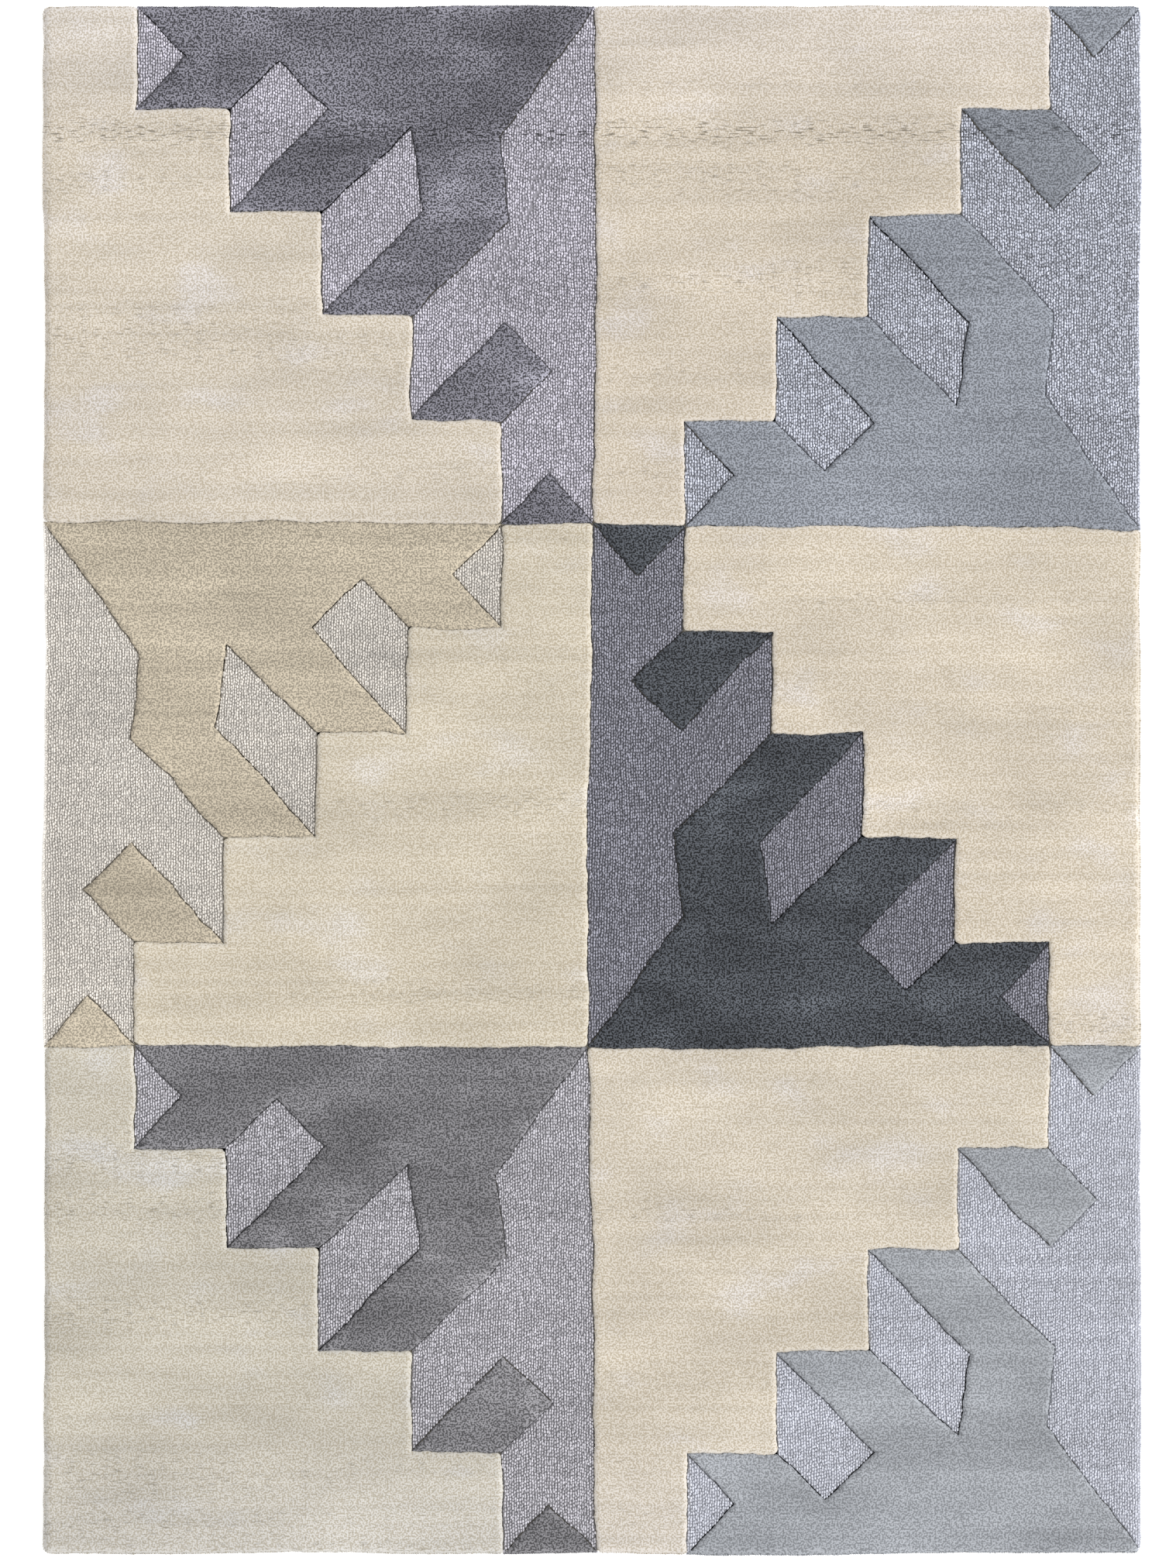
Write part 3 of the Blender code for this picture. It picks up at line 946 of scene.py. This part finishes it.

# Each dye lot gives the pale tint of painted sheen on its brushed cut pile, and the strength of
# painted shade and sheen in its clouds.
DyeLot = namedtuple(
    "DyeLot",
    "name cream cut cut_spread cut_cloud brushed_tint lozenge_strength loop loop_spread",
)
DYE_LOTS = {
    "far_left": DyeLot(
        name="grey",
        cream=(191, 182, 168),
        cut=(103, 102, 110),
        cut_spread=0.75,
        cut_cloud=1.50,
        brushed_tint=1.38,
        lozenge_strength=1.16,
        loop=(207, 204, 214),
        loop_spread=0.55,
    ),
    "far_right": DyeLot(
        name="blue_grey",
        cream=(191, 181, 166),
        cut=(131, 135, 143),
        cut_spread=0.42,
        cut_cloud=0.55,
        brushed_tint=1.08,
        lozenge_strength=0.80,
        loop=(206, 209, 220),
        loop_spread=0.58,
    ),
    "middle_left": DyeLot(
        name="sand",
        cream=(190, 181, 164),
        cut=(172, 162, 144),
        cut_spread=0.33,
        cut_cloud=0.50,
        brushed_tint=1.10,
        lozenge_strength=0.93,
        loop=(223, 218, 211),
        loop_spread=0.32,
    ),
    "middle_right": DyeLot(
        name="charcoal",
        cream=(194, 184, 168),
        cut=(64, 67, 72),
        cut_spread=0.79,
        cut_cloud=1.70,
        brushed_tint=1.36,
        lozenge_strength=1.03,
        loop=(156, 156, 167),
        loop_spread=0.58,
    ),
    "near_left": DyeLot(
        name="grey",
        cream=(181, 175, 162),
        cut=(107, 106, 109),
        cut_spread=0.58,
        cut_cloud=1.30,
        brushed_tint=1.38,
        lozenge_strength=1.21,
        loop=(201, 199, 205),
        loop_spread=0.48,
    ),
    "near_right": DyeLot(
        name="blue_grey",
        cream=(191, 182, 167),
        cut=(146, 149, 154),
        cut_spread=0.32,
        cut_cloud=0.70,
        brushed_tint=1.09,
        lozenge_strength=1.03,
        loop=(215, 217, 226),
        loop_spread=0.34,
    ),
}
LOOP_AREAS = ("loop_column", "loop_wedge_large", "loop_wedge_middle", "loop_wedge_small")

pile_pieces = []


def add_pile(pile, tree, node_name, slot_name, **inputs):
    """Finishes one area of pile, which stands in place of its plain solid."""
    piece = made_solid(pile, tree, node_name + "_pile", **inputs)
    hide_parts(node_name)
    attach(piece, "root")
    pile_pieces.append(piece)


def add_cut_pile(node_name, yarn, slot_name, rim_tone, corner_radius=0.0):
    """Makes one area of cut pile and finishes it."""
    low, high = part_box(node_name)
    corners = pattern_outline(node_name)
    if corner_radius:
        corners = sheared_corners(corners, corner_radius)
    seed = SEEDS_APART * len(pile_pieces)
    pile = cut_pile(node_name + "_face", corners, low.z, high.z, rim_tone, seed)
    add_pile(
        pile, cut_tree, node_name, slot_name, Yarn=yarn, Foot=low.z, Top=high.z, Seed=seed
    )


def add_loop_pile(node_name, yarn, slot_name):
    """Makes one area of loop pile, its columns in line with every other area's."""
    low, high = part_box(node_name)
    bed = loop_pile_bed(
        node_name + "_bed", pattern_outline(node_name), low.z, high.z - LOOP_BED_DEPTH
    )
    steps = (LOOP_GAUGE, LOOP_STITCH)
    first = [math.floor(low[axis] / step) for axis, step in enumerate(steps)]
    last = [math.ceil(high[axis] / step) for axis, step in enumerate(steps)]
    middle = [(start + end) / 2 * step for start, end, step in zip(first, last, steps)]
    add_pile(
        bed,
        loop_tree,
        node_name,
        slot_name,
        Yarn=yarn,
        Foot=low.z,
        Top=high.z,
        Middle=(*middle, low.z),
        Columns=last[0] - first[0] + LOOPS_TO_SPARE,
        Rows=last[1] - first[1] + LOOPS_TO_SPARE,
        Seed=SEEDS_APART * len(pile_pieces),
    )


for panel, lot in DYE_LOTS.items():
    cream_wool = yarn_finish(
        f"{panel}_cream_wool",
        *shades(lot.cream, CREAM_SPREAD),
        CREAM_CLOUD,
        CREAM_STREAK,
        CREAM_FLECK,
        CREAM_GAP_SHADING,
        CREAM_PALE_TINT,
        CREAM_END_SHARE,
    )
    cut_wool, lozenge_wool = [
        yarn_finish(
            f"{panel}_{area}_wool",
            *shades(lot.cut, [lot.cut_spread] * 3, strength),
            lot.cut_cloud,
            CUT_STREAK,
            CUT_FLECK,
            CUT_GAP_SHADING,
            (*[lot.brushed_tint] * 3, 1.0),
        )
        for area, strength in (("cut", 1.0), ("lozenge", lot.lozenge_strength))
    ]
    loop_wool = yarn_finish(
        f"{panel}_loop_wool",
        *shades(lot.loop, [lot.loop_spread] * 3),
        LOOP_CLOUD,
        LOOP_STREAK,
        LOOP_FLECK,
        LOOP_GAP_SHADING,
    )
    cut_slot = lot.name + "_cut_yarn"
    add_cut_pile(
        f"{panel}_ground", cream_wool, "cream_cut_yarn", CREAM_RIM_HIGHLIGHT, GROUND_CORNER_RADIUS
    )
    add_cut_pile(f"{panel}_cut_sweep", cut_wool, cut_slot, CUT_RIM_HIGHLIGHT)
    add_cut_pile(f"{panel}_cut_tip", cut_wool, cut_slot, CUT_RIM_HIGHLIGHT)
    add_cut_pile(f"{panel}_cut_lozenge", lozenge_wool, cut_slot, CUT_RIM_HIGHLIGHT)
    for area in LOOP_AREAS:
        add_loop_pile(f"{panel}_{area}", loop_wool, lot.name + "_loop_yarn")


# ---------------------------------------------------------------------------
# The primary backing: the plain-woven cloth that all the yarn is tufted through,
# with its four edges turned under as a hem. It carries the pile and the tapes.

CLOTH_ROUGHNESS = 0.9
CLOTH_GLOSS = 0.25
CLOTH_LIGHT = 1.15
CLOTH_DARK = 0.62
WEAVE_PAINTED_SHADE = 0.35
WEAVE_BUMP = 0.6
WEAR_STRENGTH = 0.7
WEAR_SCALE = (16.0, 16.0, 16.0)
SLUB_SCALE = (30.0, 420.0, 30.0)
PRIMARY_COLOUR = (214, 206, 188)
PRIMARY_THREAD = 0.0022
PRIMARY_RELIEF = 0.0004
PRIMARY_CELL = 0.030
PRIMARY_RIPPLE = 0.00012
RIPPLES_PER_METRE = 9.0
RIPPLE_LAYER = 5.5


def cloth_finish(name, colour, thread, relief):
    """A plain weave whose threads run along X and Y, a little uneven and worn, with painted shade
    where they dip.
    """
    material, tree, shader = new_finish(
        name, Roughness=CLOTH_ROUGHNESS, Specular_IOR_Level=CLOTH_GLOSS
    )
    place = tree.node("ShaderNodeTexCoord", out="Object")
    across = tree.node("ShaderNodeSeparateXYZ", {}, {0: place})
    warp = tree.math("SINE", across * (math.pi / thread))
    weft = tree.math("SINE", across.out("Y") * (math.pi / thread))
    weave = warp * weft
    wear = tree.grain(place, WEAR_SCALE, detail=3.0, roughness=0.6)
    wear = wear + tree.grain(place, SLUB_SCALE, detail=1.0)
    # Painted shade: the weave's low places are darker and its raised threads lighter; the wear
    # and slubs are the cloth's own uneven colour.
    share = 0.5 + WEAVE_PAINTED_SHADE * weave + WEAR_STRENGTH * wear
    middle = dye(*colour)
    dark, light = (
        (*(part * factor for part in middle), 1.0) for factor in (CLOTH_DARK, CLOTH_LIGHT)
    )
    tree.feed(tree.mixed(share, dark, light), shader, "Base Color")
    threads = tree.node(
        "ShaderNodeBump", {}, {"Strength": WEAVE_BUMP, "Distance": relief, "Height": weave}
    )
    tree.feed(threads, shader, "Normal")
    return material


def ripple(place, reach):
    """How far a laid cloth lifts at a place, never below where it lies."""
    return reach * (0.5 + 0.5 * noise.noise((*(place * RIPPLES_PER_METRE), RIPPLE_LAYER)))


shape = bmesh.new()
shape.from_mesh(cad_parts["primary_backing"].data)
bmesh.ops.remove_doubles(shape, verts=shape.verts, dist=MERGE_DISTANCE)
for axis, half_size in enumerate((rug_half_width, rug_half_length)):
    across = Vector((axis == 0, axis == 1, 0))
    cells = round(2 * half_size / PRIMARY_CELL)
    for cell in range(1, cells):
        bmesh.ops.bisect_plane(
            shape,
            geom=[*shape.verts, *shape.edges, *shape.faces],
            dist=MERGE_DISTANCE,
            plane_co=across * (cell * 2 * half_size / cells - half_size),
            plane_no=across,
        )
for vert in shape.verts:
    vert.co.z += ripple(vert.co.xy, PRIMARY_RIPPLE)
primary_mesh = bpy.data.meshes.new("primary_backing_cloth")
shape.to_mesh(primary_mesh)
shape.free()
primary_mesh.materials.clear()
primary_mesh.materials.append(
    cloth_finish("primary_weave", PRIMARY_COLOUR, PRIMARY_THREAD, PRIMARY_RELIEF)
)
primary_cloth = new_piece("primary_backing_cloth", primary_mesh)
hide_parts("primary_backing")
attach(primary_cloth, "root")


# ---------------------------------------------------------------------------
# The latex coat: rubber spread over the back to lock the tufts. It fills the
# space inside the hem and keeps the shape it has in the model.

LATEX_LIGHT = (226, 219, 201)
LATEX_DARK = (176, 166, 142)
LATEX_ROUGHNESS = 0.55
LATEX_BLOTCH_SCALE = (22.0, 30.0, 22.0)
LATEX_BLOTCH_STRENGTH = 1.6
LATEX_GRAIN_SCALE = (260.0, 260.0, 260.0)
LATEX_RELIEF = 0.0005
LATEX_BUMP = 0.5

latex, latex_tree, latex_shader = new_finish("cured_latex", Roughness=LATEX_ROUGHNESS)
latex_place = latex_tree.node("ShaderNodeTexCoord", out="Object")
latex_grain = latex_tree.grain(latex_place, LATEX_GRAIN_SCALE)
latex_blotches = latex_tree.grain(latex_place, LATEX_BLOTCH_SCALE, detail=4.0)
latex_share = 0.5 + LATEX_BLOTCH_STRENGTH * latex_blotches + latex_grain
latex_colour = latex_tree.mixed(
    latex_share, (*dye(*LATEX_DARK), 1.0), (*dye(*LATEX_LIGHT), 1.0)
)
latex_tree.feed(latex_colour, latex_shader, "Base Color")
latex_bump = latex_tree.node(
    "ShaderNodeBump",
    {},
    {"Strength": LATEX_BUMP, "Distance": LATEX_RELIEF, "Height": latex_grain},
)
latex_tree.feed(latex_bump, latex_shader, "Normal")
for material_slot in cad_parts["latex_coat"].material_slots:
    material_slot.material = latex


# ---------------------------------------------------------------------------
# The secondary backing: a coarse cotton cloth pressed into the wet latex. The
# rug lies on it, so it is flat but for a slight ripple.

SECONDARY_COLOUR = (196, 186, 163)
SECONDARY_THREAD = 0.0030
SECONDARY_RELIEF = 0.0006
SECONDARY_CELL = 0.030
SECONDARY_RIPPLE = 0.00015
FLAT_MARGIN = 0.00002
EDGE_WAVERS_PER_METRE = 18.0
EDGE_WAVER_LAYERS = (2.2, 8.8)


def laid_cloth(name, node_name, cell, reach, edge_waver=0.0, raised=None):
    """A thin closed cloth where a node lies, in square cells, slightly rippled."""
    low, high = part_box(node_name)
    size = high - low
    counts = [max(2, round(size.x / cell)), max(2, round(size.y / cell))]
    shape = bmesh.new()
    bmesh.ops.create_grid(shape, x_segments=counts[0], y_segments=counts[1], size=0.5)
    middle = (low + high) / 2
    for vert in shape.verts:
        x, y, _ = vert.co
        place = Vector((middle.x + x * size.x, middle.y + y * size.y))
        wave = noise_pair(*(place * EDGE_WAVERS_PER_METRE), EDGE_WAVER_LAYERS)
        flat = place + wave * edge_waver
        lift = raised(x, y) if raised else 0.0
        vert.co = (*flat, low.z + FLAT_MARGIN + ripple(place, reach) + lift)
    mesh = bpy.data.meshes.new(name)
    shape.to_mesh(mesh)
    shape.free()
    draft = new_piece(name + "_draft", mesh)
    thickness = draft.modifiers.new("thickness", "SOLIDIFY")
    thickness.thickness = size.z - reach - FLAT_MARGIN
    thickness.offset = 1.0
    graph = bpy.context.evaluated_depsgraph_get()
    cloth = bpy.data.meshes.new_from_object(draft.evaluated_get(graph))
    bpy.data.objects.remove(draft)
    cloth.name = name
    return new_piece(name, cloth)


secondary_cloth = laid_cloth(
    "secondary_backing_cloth", "secondary_backing", SECONDARY_CELL, SECONDARY_RIPPLE
)
secondary_cloth.data.materials.append(
    cloth_finish("secondary_weave", SECONDARY_COLOUR, SECONDARY_THREAD, SECONDARY_RELIEF)
)
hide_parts("secondary_backing")
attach(secondary_cloth, "root")


# ---------------------------------------------------------------------------
# Four cotton binding tapes cover the hem, one along each edge. Each is sewn down
# with two rows of stitches, which pull it in a little along their lines.

TAPE_COLOUR = (208, 200, 184)
TAPE_THREAD = 0.0012
TAPE_RELIEF = 0.0003
TAPE_CELL = 0.008
TAPE_RIPPLE = 0.00005
TAPE_EDGE_WAVER = 0.0007
STITCH_INSET = 0.1
STITCH_DIP = 0.00024
STITCH_DIP_WIDTH = 0.08
STITCH_SPACING = 0.006
STITCH_SIDES = 4
STITCH_HALF_LENGTH = 0.0022
STITCH_RADIUS = 0.00024
STITCH_STRAY = 0.05
THREAD_COLOUR = (158, 146, 122)
THREAD_PLY = 0.0006
THREAD_RELIEF = 0.0001
SIDES = ("left", "right", "near", "far")

tape_weave = cloth_finish("tape_weave", TAPE_COLOUR, TAPE_THREAD, TAPE_RELIEF)
sewing_thread = cloth_finish("sewing_thread", THREAD_COLOUR, THREAD_PLY, THREAD_RELIEF)


def stitch_dip(share):
    """How far the tape is drawn up where its two rows of stitches cross its width."""
    off_line = abs(abs(share) - (0.5 - STITCH_INSET))
    return STITCH_DIP * max(0.0, 1.0 - off_line / STITCH_DIP_WIDTH)


stitch_line_points = []
for side in SIDES:
    node_name = "binding_tape_" + side
    runs_along_y = side in ("left", "right")
    tape = laid_cloth(
        node_name + "_cloth",
        node_name,
        TAPE_CELL,
        TAPE_RIPPLE,
        TAPE_EDGE_WAVER,
        (lambda x, y: stitch_dip(x)) if runs_along_y else (lambda x, y: stitch_dip(y)),
    )
    tape.data.materials.append(tape_weave)
    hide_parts(node_name)
    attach(tape, "root")
    low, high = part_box(node_name)
    for share in (STITCH_INSET, 1.0 - STITCH_INSET):
        start = low.lerp(high, STITCH_INSET / 2)
        end = low.lerp(high, 1.0 - STITCH_INSET / 2)
        fixed = 0 if runs_along_y else 1
        start[fixed] = end[fixed] = low[fixed] + share * (high - low)[fixed]
        start.z = end.z = low.z + STITCH_RADIUS + FLAT_MARGIN
        stitch_line_points += [start, end]

stitch_tree, stitch = new_geometry_tree(
    "tape_stitches",
    {
        "Lines": ("NodeSocketGeometry", None),
        "Thread": ("NodeSocketMaterial", None),
        "Spacing": ("NodeSocketFloat", STITCH_SPACING),
        "Seed": ("NodeSocketInt", 7),
    },
)
stitch_lines = stitch_tree.node("GeometryNodeMeshToCurve", {}, {"Mesh": stitch["Lines"]})
stitch_points = stitch_tree.node(
    "GeometryNodeResampleCurve",
    {"mode": "LENGTH"},
    {"Curve": stitch_lines, "Length": stitch["Spacing"]},
)
stitch_lean = stitch_tree.vector(
    "ADD",
    stitch_tree.node("GeometryNodeInputTangent"),
    stray(stitch_tree, STITCH_STRAY, stitch["Seed"]),
)
stitch_shape = yarn_shape(
    stitch_tree, STITCH_SIDES, (STITCH_RADIUS, STITCH_RADIUS, STITCH_HALF_LENGTH)
)
sewn = stood(stitch_tree, stitch_points, stitch_shape, stitch_lean, 0.0, stitch["Seed"] + 1)
finish_tree(stitch_tree, [sewn], stitch["Thread"])

stitch_mesh = bpy.data.meshes.new("stitch_lines")
stitch_mesh.from_pydata(
    stitch_line_points,
    [(end - 1, end) for end in range(1, len(stitch_line_points), 2)],
    [],
)
binding_stitches = made_solid(
    new_piece("stitch_lines", stitch_mesh),
    stitch_tree,
    "binding_stitches",
    Thread=sewing_thread,
)
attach(binding_stitches, "root")
